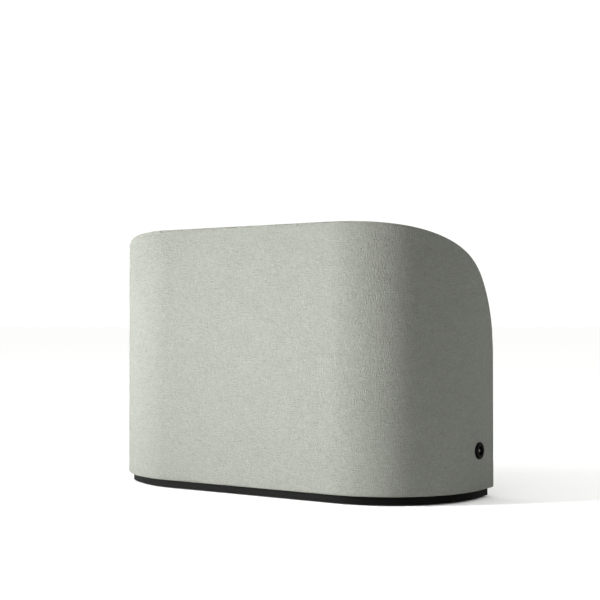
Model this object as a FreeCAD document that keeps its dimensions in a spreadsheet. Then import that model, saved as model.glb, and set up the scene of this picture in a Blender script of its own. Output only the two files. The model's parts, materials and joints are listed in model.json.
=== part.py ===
"""Smart speaker with a woven cover, as an assembly of separate pieces.

Millimetres, +Z up, +X to the right, the flat front faces -Y.  The origin is the centre of the
footprint, on the surface that the speaker stands on.

The outer form is an upright D in plan: a flat front, two large round front corners and a square
rear.  Seen from the side, the top leaves the front edge at a slight slope, falls away in a wide
arc and rolls over into the rear wall in a tighter one.  Every shell is that form set in by a
distance, so the layers nest: woven cover, slotted shell, then the working parts.
"""
import FreeCAD, Part
import math
import os

import Sketcher
from FreeCAD import Placement, Rotation, Vector

doc = FreeCAD.newDocument("smart_speaker")
sheet = doc.addObject("Spreadsheet::Sheet", "dims")

DRIVING = {
    # outer form
    "width": 255, "depth": 84, "height": 165, "corner_r": 67, "rim_r": 2.4,
    "top_slope": 7, "top_arc": 136, "roll_arc": 69.5,
    # layers, from the outside in
    "cover_t": 1.2, "shell_t": 2, "hem_w": 4.7, "shell_rim_r": 1.2,
    # base
    "base_h": 5.6, "base_inset": 3.3, "foot_h": 1.5, "foot_proud": 0.8, "foot_inset": 5.5, "foot_gap": 0.1,
    "chassis_t": 3, "chassis_gap": 0.2,
    # long screws from the plinth into the shell's posts
    "post_side_x": 120.3, "post_side_y": 28, "post_front_x": 50, "post_front_y": 35.3,
    "post_r": 4.6, "post_h": 11, "post_bore_r": 1.55, "clear_r": 1.75, "sink_r": 3.2, "sink_h": 1.6,
    # acoustic enclosure
    "enc_inset": 13, "enc_wall": 3, "enc_half": 72, "enc_floor": 12, "baffle_t": 6,
    "seal_t": 1, "seal_w": 4, "baffle_post_x": 64, "baffle_post_low": 22, "baffle_post_high": 140,
    "boss_x": 54, "boss_front": -12, "boss_rear": 20, "boss_half": 5, "boss_top": 24,
    "base_screw_l": 14.5, "boss_sink_h": 1.8,
    # shell slots
    "slot_w": 2.6, "slot_pitch": 5, "slot_h": 30, "slot_row": 33, "slot_low": 46,
    "side_slot_h": 44, "rear_slot_h": 28, "rear_slot_row": 31, "rear_slot_low": 18,
    # woofer, heights from the front face of the baffle, forwards positive
    "woofer_z": 93, "woofer_r": 51, "woofer_hole_r": 41.6, "woofer_bolt_r": 48.4,
    "flange_t": 2.5, "coil_r": 12.5, "former_t": 0.4, "winding_t": 0.6, "winding_h": 8,
    "plate_t": 4, "magnet_t": 10, "magnet_r": 30, "basket_d": 25.2, "pole_gap": 0.4,
    # passive radiator, heights from the rear face of the enclosure, rearwards positive
    "rad_z": 47, "rad_l": 120, "rad_h": 64, "rad_flange_t": 2.5, "rad_border": 8,
    "rad_plate_l": 90, "rad_plate_h": 34, "rad_plate_t": 1.5,
    # tweeters, on a radius round the centre of each front corner
    "tweeter_out": 54, "tweeter_turn": 45, "tweeter_z": 96, "tweeter_r": 22,
    "cup_r": 14.5, "cup_d": 17, "dome_r": 9.9, "bracket_t": 3, "bracket_w": 48, "bracket_top": 122,
    # control strip, heights from the outer surface along its normal
    "strip_y": -24, "strip_l": 84, "strip_w": 17, "strip_proud": 0.3, "strip_d": 3.9,
    "strip_flange": 4, "strip_flange_t": 1.5, "key_r": 5.2, "key_gap": 0.2, "key_pitch": 15,
    "key_x": -24, "key_row": 1.6, "mute_x": 26, "mute_travel": 2.5, "board_down": 9.4, "board_t": 1.2,
    # power inlet
    "jack_y": 20, "jack_z": 29.5, "jack_mouth": 128.8, "jack_r": 5, "jack_bore_r": 2.9,
    "jack_throat": 3, "jack_pin_r": 1, "jack_pin_back": 1.2,
    # circuit boards
    "pcb_t": 1.6, "bay_in": 79.5, "bay_out": 120, "power_board_z": 22.4, "rear_board_y": 32,
    "lead_hole_r": 1.05, "rear_board_low": 26, "rear_board_high": 84, "upright_top": 83,
}


def with_derived(d):
    """Adds the places that follow from the driving dimensions: the centres of the top's two arcs
    and their meeting angle, the strip's station on the arc, and the faces that the layers share."""
    d = dict(d)
    slope = math.radians(d["top_slope"])
    d["top_cy"] = -d["depth"] / 2 - d["top_arc"] * math.sin(slope)
    d["top_cz"] = d["height"] - d["top_arc"] * math.cos(slope)
    d["meet_sin"] = ((d["depth"] + d["top_arc"] * math.sin(slope) - d["roll_arc"])
                     / (d["top_arc"] - d["roll_arc"]))
    d["meet_cos"] = math.sqrt(1 - d["meet_sin"] ** 2)
    d["roll_cy"] = d["depth"] / 2 - d["roll_arc"]
    d["roll_cz"] = d["top_cz"] + (d["top_arc"] - d["roll_arc"]) * d["meet_cos"]
    d["corner_cx"] = d["width"] / 2 - d["corner_r"]
    d["corner_cy"] = d["corner_r"] - d["depth"] / 2
    d["shell_inset"] = d["cover_t"] + d["shell_t"]
    d["shell_floor"] = d["base_h"] + d["cover_t"]
    d["deck_z"] = d["shell_floor"] + d["chassis_t"]
    d["baffle_y"] = d["enc_inset"] - d["depth"] / 2
    d["seal_y"] = d["baffle_y"] + d["baffle_t"]
    d["tub_y"] = d["seal_y"] + d["seal_t"]
    d["enc_rear_y"] = d["depth"] / 2 - d["enc_inset"]
    d["strip_tilt"] = math.degrees(math.asin((d["strip_y"] - d["top_cy"]) / d["top_arc"]))
    d["strip_z"] = d["top_cz"] + math.sqrt(d["top_arc"] ** 2 - (d["strip_y"] - d["top_cy"]) ** 2)
    return d


DIMS = with_derived(DRIVING)
for row, (alias, number) in enumerate(DIMS.items(), start=1):
    sheet.set(f"A{row}", alias)
    sheet.set(f"B{row}", f"{number:.9g}")
    sheet.setAlias(f"B{row}", alias)
doc.recompute()

AHEAD = Rotation(Vector(1, 0, 0), 90)      # local Z to the front, -Y; local Y up
BEHIND = Rotation(Vector(1, 0, 0), -90)    # local Z to the rear, +Y; local Y down
RIGHT = Rotation(Vector(0, 1, 0), 90)      # local Z to the right, +X
STRIP_TURN = Rotation(Vector(1, 0, 0), -DIMS["strip_tilt"])
SIDES = (("left", -1), ("right", 1))

LEAD_R = 1
BEND_REACH = 5      # how far from its corner a lead starts to bend
DUCT_Z = 11.6       # leads cross from bay to bay under the enclosure's rear edge

nodes = []          # the objects that are written out, one file each


# ---------------------------------------------------------------- general tools

def number(expression):
    """What an expression over the sheet is worth now."""
    found = sheet.evalExpression(str(expression))
    return float(getattr(found, "Value", found))


def keep(piece, label):
    """Marks a piece as a sub-part of the speaker, under its own name."""
    piece.Label = label
    nodes.append(piece)
    return piece


def put(piece, x=0, y=0, z=0, turn=None):
    """Sets where a piece goes: the turn is fixed, the place is bound to the sheet."""
    piece.Placement = Placement(Vector(number(x), number(y), number(z)), turn or Rotation())
    for axis, place in zip("xyz", (x, y, z)):
        piece.setExpression(f"Placement.Base.{axis}", str(place))
    return piece


def size(piece, **cells):
    """Binds a piece's properties to expressions."""
    for name, cell in cells.items():
        piece.setExpression(name, str(cell))
    return piece


def box(name, x, y, z):
    """A block from one (low, high) pair of expressions per axis."""
    block = doc.addObject("Part::Box", name)
    for prop, (low, high) in zip(("Length", "Width", "Height"), (x, y, z)):
        block.setExpression(prop, f"({high}) - ({low})")
    return put(block, x[0], y[0], z[0])


def rod(name, radius, length, x=0, y=0, z=0, turn=None):
    """A cylinder from a point along its turned Z."""
    cylinder = doc.addObject("Part::Cylinder", name)
    return put(size(cylinder, Radius=radius, Height=length), x, y, z, turn)


def cut(name, base, *tools):
    """Base less every tool, one after another."""
    for step, tool in enumerate(tools):
        result = doc.addObject("Part::Cut", f"{name}_{step}")
        result.Base, result.Tool = base, tool
        base = result
    return base


def joined(name, *pieces):
    """One piece from several that overlap or share a face."""
    result = doc.addObject("Part::MultiFuse", name)
    result.Shapes, result.Refine = list(pieces), True
    return result


def shared(name, first, second):
    """What two pieces have in common."""
    result = doc.addObject("Part::Common", name)
    result.Base, result.Tool = first, second
    return result


def group(name, *pieces):
    """Several separate solids that are handled as one."""
    result = doc.addObject("Part::Compound", name)
    result.Links = list(pieces)
    return result


def new_body(name):
    """An empty body that may hold separate solids."""
    body = doc.addObject("PartDesign::Body", name)
    body.AllowCompound = True
    return body


def sketch_on(body, plane, corners, lift=0):
    """A closed outline on one of the body's origin planes, every size bound to the sheet.

    A corner is (x, y), or (x, y, radius, side) where the edge that leaves it is an arc: side 1
    bulges to the right of the way round, and -1 to the left.  The outline goes anticlockwise.
    """
    sketch = body.newObject("Sketcher::SketchObject", body.Name + "_outline")
    face = [f for f in body.Origin.OriginFeatures if f.Role == plane]
    sketch.AttachmentSupport, sketch.MapMode = [(face[0], "")], "FlatFace"
    sketch.setExpression("AttachmentOffset.Base.z", str(lift))
    at = [Vector(number(c[0]), number(c[1]), 0) for c in corners]
    count = len(corners)
    for i, corner in enumerate(corners):
        start, end = at[i], at[(i + 1) % count]
        if len(corner) == 2:
            sketch.addGeometry(Part.LineSegment(start, end), False)
            continue
        radius, side = number(corner[2]), corner[3]
        chord = end - start
        inward = Vector(-chord.y, chord.x, 0).normalize() * side
        centre = (start + end) / 2 + inward * math.sqrt(max(radius ** 2 - chord.Length ** 2 / 4, 0))
        middle = centre + ((start + end) / 2 - inward * 1e-3 - centre).normalize() * radius
        sketch.addGeometry(Part.Arc(start, middle, end), False)
    # an arc of a circle always runs anticlockwise, so one that bulges left starts at its far end
    first = [2 if len(c) > 2 and c[3] < 0 else 1 for c in corners]
    for i in range(count):
        after = (i + 1) % count
        sketch.addConstraint(Sketcher.Constraint("Coincident", i, 3 - first[i], after, first[after]))
    for i, corner in enumerate(corners):
        for kind, place in zip(("DistanceX", "DistanceY"), corner[:2]):
            index = sketch.addConstraint(
                Sketcher.Constraint(kind, -1, 1, i, first[i], number(place)))
            sketch.setExpression(f"Constraints[{index}]", str(place))
        if len(corner) > 2:
            index = sketch.addConstraint(Sketcher.Constraint("Radius", i, number(corner[2])))
            sketch.setExpression(f"Constraints[{index}]", str(corner[2]))
    return sketch


def padded(name, plane, corners, length, lift=0, both=False):
    """An outline drawn out along its plane's normal, or evenly to both sides."""
    body = new_body(name)
    sketch = sketch_on(body, plane, corners, lift)
    pad = body.newObject("PartDesign::Pad", name + "_pad")
    pad.Profile, pad.Midplane = sketch, both
    pad.setExpression("Length", str(length))
    body.Tip = pad
    return body


def turned(name, corners):
    """A solid of revolution about the local Z, from an outline of (radius, height)."""
    body = new_body(name)
    sketch = sketch_on(body, "XZ_Plane", corners)
    spin = body.newObject("PartDesign::Revolution", name + "_turn")
    spin.Profile, spin.ReferenceAxis, spin.Angle = sketch, (sketch, ["V_Axis"]), 360
    body.Tip = spin
    return body


def tube(name, inner, outer, low, high):
    """A plain ring as a solid of revolution."""
    return turned(name, [(inner, low), (outer, low), (outer, high), (inner, high)])


def block_outline(x_low, x_high, y_low, y_high):
    """A rectangle's corners, anticlockwise."""
    return [(x_low, y_low), (x_high, y_low), (x_high, y_high), (x_low, y_high)]


def racetrack(length, height):
    """A slot-shaped outline with round ends, centred on the origin."""
    straight, end, tip = f"(({length}) - ({height}))/2", f"({height})/2", f"({length})/2"
    return [(f"-{straight}", f"-{end}"), (straight, f"-{end}", end, 1), (tip, "0", end, 1),
            (straight, end), (f"-{straight}", end, end, 1), (f"-{tip}", "0", end, 1)]


def pocketed(body, plane, corners, lift, depth, back=False):
    """Cuts an outline into a body."""
    sketch = sketch_on(body, plane, corners, lift)
    pocket = body.newObject("PartDesign::Pocket", body.Name + "_pocket")
    pocket.Profile, pocket.Reversed = sketch, back
    pocket.setExpression("Length", str(depth))
    body.Tip = pocket
    return pocket


def round_array(body, feature, count):
    """Repeats a feature round the body's own Z."""
    pattern = body.newObject("PartDesign::PolarPattern", body.Name + "_round")
    axis = [f for f in body.Origin.OriginFeatures if f.Role == "Z_Axis"][0]
    pattern.Originals, pattern.Axis = [feature], (axis, [""])
    pattern.Angle, pattern.Occurrences = 360, count
    body.Tip = pattern
    return pattern


def softened(body, feature, radius, wanted):
    """Rounds the edges of a feature that wanted() picks by their middle point and length."""
    doc.recompute()
    picked = []
    for index, edge in enumerate(feature.Shape.Edges, start=1):
        middle = edge.valueAt((edge.FirstParameter + edge.LastParameter) / 2)
        if wanted(edge, middle):
            picked.append(f"Edge{index}")
    fillet = body.newObject("PartDesign::Fillet", body.Name + "_soft")
    fillet.Base = (feature, picked)
    fillet.setExpression("Radius", str(radius))
    body.Tip = fillet
    return fillet


def screws(label, radius, head_r, head_h, length, spots, turn=None):
    """A group of equal socket screws, heads' undersides at the spots and shanks along local -Z.

    A spot is (x, y, z), or (x, y, z, turn) where the screws don't all point the same way.
    """
    shank = Part.makeCylinder(radius, length, Vector(0, 0, -length))
    head = Part.makeCylinder(head_r, head_h)
    socket = Part.makePolygon([Vector(head_r * 0.5 * math.cos(math.pi * k / 3),
                                      head_r * 0.5 * math.sin(math.pi * k / 3), head_h * 0.4)
                               for k in range(7)])
    socket = Part.Face(socket).extrude(Vector(0, 0, head_h))
    screw = shank.fuse(head).cut(socket).removeSplitter()
    copies = []
    for spot in spots:
        copy = screw.copy()
        own_turn = spot[3] if len(spot) > 3 else turn
        copy.Placement = Placement(Vector(*[number(c) for c in spot[:3]]), own_turn or Rotation())
        copies.append(copy)
    piece = doc.addObject("Part::Feature", label)
    piece.Shape = Part.makeCompound(copies)
    return keep(piece, label)


def lead(points, radius):
    """A round lead along straight runs joined by tangent arcs, tighter where the runs are short."""
    corners = [Vector(*[number(c) for c in p]) for p in points]
    edges, start = [], corners[0]
    for before, corner, after in zip(corners, corners[1:], corners[2:]):
        back, ahead = before - corner, after - corner
        reach = min(BEND_REACH, 0.45 * min(back.Length, ahead.Length))
        half_turn = (math.pi - back.getAngle(ahead)) / 2
        back, ahead = back.normalize(), ahead.normalize()
        enter, leave = corner + back * reach, corner + ahead * reach
        bend = reach / math.tan(half_turn)
        middle = corner + (back + ahead).normalize() * (bend / math.cos(half_turn) - bend)
        edges += [Part.makeLine(start, enter), Part.Arc(enter, middle, leave).toShape()]
        start = leave
    edges.append(Part.makeLine(start, corners[-1]))
    path = Part.Wire(edges)
    section = Part.Wire(Part.makeCircle(radius, corners[0], corners[1] - corners[0]))
    shape = path.makePipeShell([section], True, False)
    fullness = shape.Volume / (math.pi * radius ** 2 * path.Length)
    if abs(fullness - 1) > 0.02:
        raise SystemExit(f"a lead's sweep came out at {fullness:.3f} of its volume")
    return shape


def wire_run(label, *routes):
    """One node from the leads along several routes."""
    runs = [lead(points, LEAD_R) for points in routes]
    piece = doc.addObject("Part::Feature", label)
    piece.Shape = runs[0] if len(runs) == 1 else Part.makeCompound(runs)
    return keep(piece, label)


# ---------------------------------------------------------------- the shared outer form

def plan(inset):
    """The upright D, set in by inset: flat front, two large front corners, square rear."""
    right, rear = f"(dims.width/2 - ({inset}))", f"(dims.depth/2 - ({inset}))"
    radius = f"dims.corner_r - ({inset})"
    return [("-dims.corner_cx", f"-{rear}"), ("dims.corner_cx", f"-{rear}", radius, 1),
            (right, "dims.corner_cy"), (right, rear), (f"-{right}", rear),
            (f"-{right}", "dims.corner_cy", radius, 1)]


def plan_slab(name, inset, low, high):
    """A flat slab of the plan outline."""
    return padded(name, "XY_Plane", plan(inset), f"({high}) - ({low})", lift=low)


def top_curve(inset, front):
    """The side profile's top from the plane y = front to the rear wall: three corners, two arcs."""
    wide, tight = f"(dims.top_arc - ({inset}))", f"(dims.roll_arc - ({inset}))"
    start = f"dims.top_cz + sqrt({wide}^2 - ({front} - dims.top_cy)^2)"
    meet = (f"dims.top_cy + {wide}*dims.meet_sin", f"dims.top_cz + {wide}*dims.meet_cos")
    return start, meet, wide, tight


def form(name, inset, floor, rim=None):
    """The outer form set in by inset, down to floor, with its rim rounded where asked."""
    body = new_body(name)
    base = body.newObject("PartDesign::Pad", name + "_pad")
    base.Profile = sketch_on(body, "XY_Plane", plan(inset), floor)
    base.setExpression("Length", f"dims.height - {floor}")
    front, rear = f"(-dims.depth/2 + {inset})", f"(dims.depth/2 - {inset})"
    start, meet, wide, tight = top_curve(inset, front)
    over = [(front, start, wide, -1), (*meet, tight, -1), (rear, "dims.roll_cz"),
            ("dims.depth", "dims.roll_cz"), ("dims.depth", "2*dims.height"),
            ("-dims.depth", "2*dims.height"), ("-dims.depth", start)]
    away = body.newObject("PartDesign::Pocket", name + "_over")
    away.Profile, away.Midplane = sketch_on(body, "YZ_Plane", over), True
    away.setExpression("Length", "2*dims.width")
    body.Tip = away
    if rim:
        side, back = number(f"dims.width/2 - {inset}"), number(rear)

        def on_rim(edge, middle):
            along = edge.tangentAt((edge.FirstParameter + edge.LastParameter) / 2)
            upright = abs(along.z) > 0.999
            at_rear = middle.y > back - 0.01 and abs(abs(middle.x) - side) < 0.01
            crossing = abs(along.x) > 0.999 and middle.y > -back + 0.01
            return at_rear or (middle.z > number("dims.roll_cz") and not upright and not crossing)

        softened(body, away, rim, on_rim)
    return body


def side_block(name, inset, half, front, floor):
    """A block of the side profile, set in by inset, that ends in a flat front."""
    start, meet, wide, tight = top_curve(inset, front)
    rear = f"(dims.depth/2 - ({inset}))"
    outline = [(front, floor), (rear, floor), (rear, "dims.roll_cz", tight, 1),
               (*meet, wide, 1), (front, start)]
    return padded(name, "YZ_Plane", outline, f"2*({half})", both=True)


# ---------------------------------------------------------------- cover, shell and base

def post_spots(z):
    """Where the four long screws stand, in plan."""
    return [(f"{s}*dims.post_side_x", "dims.post_side_y", z) for s in (-1, 1)] + \
           [(f"{s}*dims.post_front_x", "-dims.post_front_y", z) for s in (-1, 1)]


def boss_spots(z):
    """Where four screws from below hold the enclosure, in plan."""
    return [(f"{s}*dims.boss_x", y, z) for s in (-1, 1) for y in ("dims.boss_front", "dims.boss_rear")]


def rods_at(name, radius, length, spots, turn=None):
    """Equal cylinders at several spots, as one tool."""
    return group(name, *[rod(f"{name}_{i}", radius, length, *spot, turn=turn)
                         for i, spot in enumerate(spots)])


def slot_comb(name, pitch, columns, height, rows=1, row_pitch=1):
    """A grid of upright bars, as a tool, in the local XZ plane and centred across."""
    first = f"-{pitch}*{(columns - 1) / 2}"
    corners = block_outline(f"{first} - dims.slot_w/2", f"{first} + dims.slot_w/2", 0, height)
    body = padded(name, "XZ_Plane", corners, "4*dims.shell_t + 4", both=True)
    sketch, pad = body.Group[0], body.Tip
    pattern = body.newObject("PartDesign::LinearPattern", name + "_grid")
    pattern.Originals, pattern.Direction = [pad], (sketch, ["H_Axis"])
    pattern.Occurrences = columns
    pattern.setExpression("Length", f"{pitch}*{columns - 1}")
    if rows > 1:
        pattern.Direction2, pattern.Occurrences2 = (sketch, ["V_Axis"]), rows
        pattern.setExpression("Length2", f"{row_pitch}*{rows - 1}")
    body.Tip = pattern
    return body


def strip_form(name, length, width, low, high):
    """A round-ended slab on the control strip's own axes."""
    body = padded(name, "XY_Plane", racetrack(length, width), f"({high}) - ({low})", lift=low)
    return put(body, 0, "dims.strip_y", "dims.strip_z", STRIP_TURN)


def make_cover_and_shell():
    """The woven cover and, under it, the slotted shell with its screw posts."""
    outside = form("outside", 0, "dims.base_h", rim="dims.rim_r")
    between = form("between", "dims.cover_t", "dims.shell_floor", rim="dims.shell_rim_r")
    inside = form("inside", "dims.shell_inset", "dims.base_h")
    strip_hole = strip_form("strip_hole", "dims.strip_l + 0.3", "dims.strip_w + 0.3", -12, 6)
    jack_hole = rod("jack_hole", "dims.jack_r + 0.05", 20, "dims.width/2 - 10",
                    "dims.jack_y", "dims.jack_z", RIGHT)
    hem = plan_slab("hem_opening", "dims.hem_w", 0, "dims.height/10")
    keep(cut("cover", outside, between, hem, strip_hole, jack_hole), "fabric_cover")

    front = put(slot_comb("front_slots", "dims.slot_pitch", 21, "dims.slot_h", 3, "dims.slot_row"),
                0, "-dims.depth/2", "dims.slot_low")
    rear = put(slot_comb("rear_slots", "dims.slot_pitch", 25, "dims.rear_slot_h", 2,
                         "dims.rear_slot_row"), 0, "dims.depth/2", "dims.rear_slot_low")
    reach = "(dims.corner_r - 2)*sqrt(0.5)"
    corners = [put(slot_comb(f"{side}_slots", "dims.slot_pitch", 9, "dims.side_slot_h"),
                   f"{sign}*(dims.corner_cx + {reach})", f"dims.corner_cy - {reach}",
                   "dims.tweeter_z - dims.side_slot_h/2", Rotation(Vector(0, 0, 1), sign * 45))
               for side, sign in (("left", -1), ("right", 1))]
    hollow = cut("shell_hollow", between, inside)
    posts = rods_at("posts", "dims.post_r", "dims.post_h", post_spots("dims.deck_z"))
    walls = joined("shell_walls", hollow, *posts.Links)
    bores = rods_at("post_bores", "dims.post_bore_r", "dims.post_h - 2", post_spots("dims.deck_z"))
    keep(cut("shell", walls, bores, front, rear, *corners, strip_hole, jack_hole), "grille_shell")


def make_base():
    """The recessed plinth, its foot pad and the chassis that everything inside stands on."""
    below = plan_slab("plinth_slab", "dims.base_inset", "dims.foot_proud", "dims.base_h")
    recess = plan_slab("foot_recess", "dims.foot_inset", 0, "dims.foot_h")
    sinks = rods_at("plinth_sinks", "dims.sink_r", "dims.sink_h", post_spots("dims.foot_h"))
    clear = rods_at("plinth_clear", "dims.clear_r", "dims.base_h", post_spots(0))
    keep(cut("plinth", below, recess, sinks, clear), "base_plinth")
    keep(plan_slab("sole", "dims.foot_inset + dims.foot_gap", 0, "dims.foot_h"), "foot_pad")

    flange = plan_slab("deck_flange", "dims.shell_inset + dims.chassis_gap",
                       "dims.shell_floor", "dims.deck_z")
    spigot = plan_slab("deck_spigot", "dims.hem_w + dims.chassis_gap", "dims.base_h",
                       "dims.shell_floor")
    uprights = [box(f"upright_{side}_{i}", (f"{sign}*{x} - 2", f"{sign}*{x} + 2"),
                    ("dims.rear_board_y + dims.pcb_t", "dims.rear_board_y + dims.pcb_t + 3"),
                    ("dims.shell_floor", "dims.upright_top"))
                for side, sign in (("left", -1), ("right", 1))
                for i, x in enumerate(("(dims.bay_in + 4)", "(dims.bay_out - 4)"))]
    rests = [box(f"rest_{i}", (f"{s}*54 - 8", f"{s}*54 + 8"), ("-20", "26"),
                 ("dims.shell_floor", "dims.enc_floor")) for i, s in enumerate((-1, 1))]
    stands = [rod(f"stand_{i}", 2.6, "dims.power_board_z - dims.deck_z", x, y, "dims.deck_z")
              for i, (x, y) in enumerate(power_board_spots())]
    brackets = [tweeter_bracket(side, sign) for side, sign in SIDES]
    whole = joined("deck_whole", flange, spigot, *uprights, *rests, *stands, *brackets)
    clear = rods_at("deck_clear", "dims.clear_r", 20, post_spots(0) + boss_spots(0))
    sinks = rods_at("deck_sinks", "dims.sink_r", "dims.base_h + dims.boss_sink_h", boss_spots(0))
    threads = rods_at("stand_bores", 1.05, 8, [(x, y, "dims.power_board_z - 6")
                                               for x, y in power_board_spots()])
    rear_threads = rods_at("upright_bores", 1.05, 4.6, rear_board_spots(), BEHIND)
    keep(cut("deck", whole, clear, sinks, threads, rear_threads), "chassis_plate")
    heads = post_spots("dims.foot_h + dims.sink_h") + boss_spots("dims.base_h + dims.boss_sink_h")
    screws("base_screws", 1.5, 2.9, 1.5, number("dims.base_screw_l"), heads,
           Rotation(Vector(1, 0, 0), 180))


# ---------------------------------------------------------------- acoustic enclosure

def boss_blocks(name, more):
    """The blocks on the enclosure's floor that take the screws from below, or the room round them."""
    half = f"(dims.boss_half + {more})"
    return group(name, *[box(f"{name}_{i}", (f"{x} - {half}", f"{x} + {half}"),
                             (f"{y} - {half}", f"{y} + {half}"), (z, f"dims.boss_top + {more}"))
                         for i, (x, y, z) in enumerate(boss_spots("dims.enc_floor"))])


def make_enclosure():
    """Baffle, gasket, tub and wadding: one block of the side profile, sliced and hollowed."""
    whole = side_block("enc_whole", "dims.enc_inset", "dims.enc_half", "dims.baffle_y",
                       "dims.enc_floor")
    deep = "(dims.enc_inset + dims.enc_wall)"
    cavity = side_block("enc_cavity", deep, "dims.enc_half - dims.enc_wall",
                        "(dims.baffle_y - 1)", "dims.enc_floor + dims.enc_wall")
    across, tall = ("-dims.width/2", "dims.width/2"), ("0", "dims.height")

    def slice_of(name, low, high):
        return shared(name, whole, box(name + "_slab", across, (low, high), tall))

    corner_spots = [(f"{s}*dims.baffle_post_x", "dims.baffle_y", z) for s in (-1, 1)
                    for z in ("dims.baffle_post_low", "dims.baffle_post_high")]
    # solid pillars in the tub's four corners take the baffle screws
    pillars = group("pillars", *[
        box(f"pillar_{i}", (f"{x} - 5", f"{x} + 5"), ("dims.tub_y", "dims.tub_y + 20"),
            (f"{z} - 5", f"{z} + 5")) for i, (x, _, z) in enumerate(corner_spots)])
    room = cut("enc_room", cavity, pillars, boss_blocks("boss", 0))
    driver_hole = rod("driver_hole", "dims.woofer_hole_r", 20, 0, "dims.baffle_y + 15",
                      "dims.woofer_z", AHEAD)
    driver_bolts = rods_at("driver_bolts", 1.5, "dims.baffle_t + 2", woofer_bolt_spots(1), BEHIND)
    bolt_holes = rods_at("baffle_clear", "dims.clear_r", 40, [(x, f"{y} - 5", z)
                                                               for x, y, z in corner_spots], BEHIND)
    thread_holes = rods_at("pillar_bores", "dims.post_bore_r", 18,
                           [(x, "dims.tub_y - 1", z) for x, _, z in corner_spots], BEHIND)
    boss_holes = rods_at("boss_bores", "dims.post_bore_r", "dims.boss_top - dims.enc_floor - 0.6",
                         boss_spots("dims.enc_floor - 1"))
    radiator_hole = put(padded("radiator_hole", "XY_Plane", racetrack("dims.rad_l - 14",
                               "dims.rad_h - 14"), 20, both=True), 0, "dims.enc_rear_y",
                        "dims.rad_z", BEHIND)
    radiator_bolts = rods_at("radiator_bolts", 1.25, 8, radiator_bolt_spots(-5), BEHIND)
    keep(cut("baffle", slice_of("baffle_slice", "dims.baffle_y", "dims.seal_y"), driver_hole,
             driver_bolts, bolt_holes), "front_baffle")
    keep(cut("seal", slice_of("seal_slice", "dims.seal_y", "dims.tub_y"), room, bolt_holes),
         "baffle_gasket")
    lead_hole = rod("lead_hole", "dims.lead_hole_r", 10, 65, -7, 50, RIGHT)
    keep(cut("tub", slice_of("tub_slice", "dims.tub_y", "dims.depth/2"), room, thread_holes,
             boss_holes, radiator_hole, radiator_bolts, lead_hole), "enclosure_tub")
    screws("baffle_screws", 1.5, 2.8, 1.8, 18, corner_spots, AHEAD)

    soft = side_block("soft_form", f"({deep} + 0.4)", "dims.enc_half - dims.enc_wall - 0.4",
                      "(dims.tub_y + 21)", "dims.enc_floor + dims.enc_wall + 0.4")
    pads = [box(f"soft_{i}", (f"{s}*60.5 - 8", f"{s}*60.5 + 8"), ("-30", "40"), ("0", "160"))
            for i, s in enumerate((-1, 1))]
    wads = [cut(f"wad_fitted_{i}", shared(f"wad_{i}", soft, pad), boss_blocks(f"wad_gap_{i}", 0.4))
            for i, pad in enumerate(pads)]
    keep(group("wadding", *wads), "damping_pads")


# ---------------------------------------------------------------- woofer

def woofer_bolt_spots(lift):
    """Four fixings on the woofer's bolt circle; lift is forwards from the baffle's face."""
    return [(f"dims.woofer_bolt_r*{sx}*sqrt(0.5)", f"dims.baffle_y - ({lift})",
             f"dims.woofer_z + dims.woofer_bolt_r*{sz}*sqrt(0.5)") for sx in (-1, 1) for sz in (-1, 1)]


def at_woofer(body):
    """Local Z runs forwards from the baffle's face, on the woofer's axis."""
    return put(body, 0, "dims.baffle_y", "dims.woofer_z", AHEAD)


def make_basket():
    """The pressed frame: a flat flange, a windowed cone and a ring that sits on the top plate."""
    low = "-dims.basket_d"
    body = turned("basket", [
        ("dims.coil_r + 2.1", low), ("25.6", low), ("dims.woofer_hole_r - 0.3", "0"),
        ("dims.woofer_r", "0"), ("dims.woofer_r", "dims.flange_t"), ("40", "dims.flange_t"),
        ("40", "-0.2"), ("24.8", f"{low} + 1.2"), ("dims.coil_r + 2.1", f"{low} + 1.2")])
    window = pocketed(body, "XY_Plane", [("28", "-5"), ("37.5", "-9"), ("37.5", "9"), ("28", "5")],
                      -1, "dims.basket_d + 5")
    round_array(body, window, 6)
    bolts = rods_at("basket_bolts", "dims.clear_r", 20, woofer_bolt_spots(10), BEHIND)
    return cut("basket_drilled", at_woofer(body), bolts)


def make_spider():
    """The corrugated centring disc, a zigzag of equal waves between the coil and the basket."""
    inner, outer, waves, thick, lift = "(dims.coil_r + dims.former_t + 0.15)", "28.3", 5, 0.5, 0.9
    step = f"({outer} - {inner})/{2 * waves}"
    top = [(f"{inner} + {k}*{step}", f"-18 + {lift if k % 2 else 0}") for k in range(2 * waves + 1)]
    below = [(x, f"{y} - {thick}") for x, y in top]
    return turned("spider", below + top[::-1])


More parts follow.
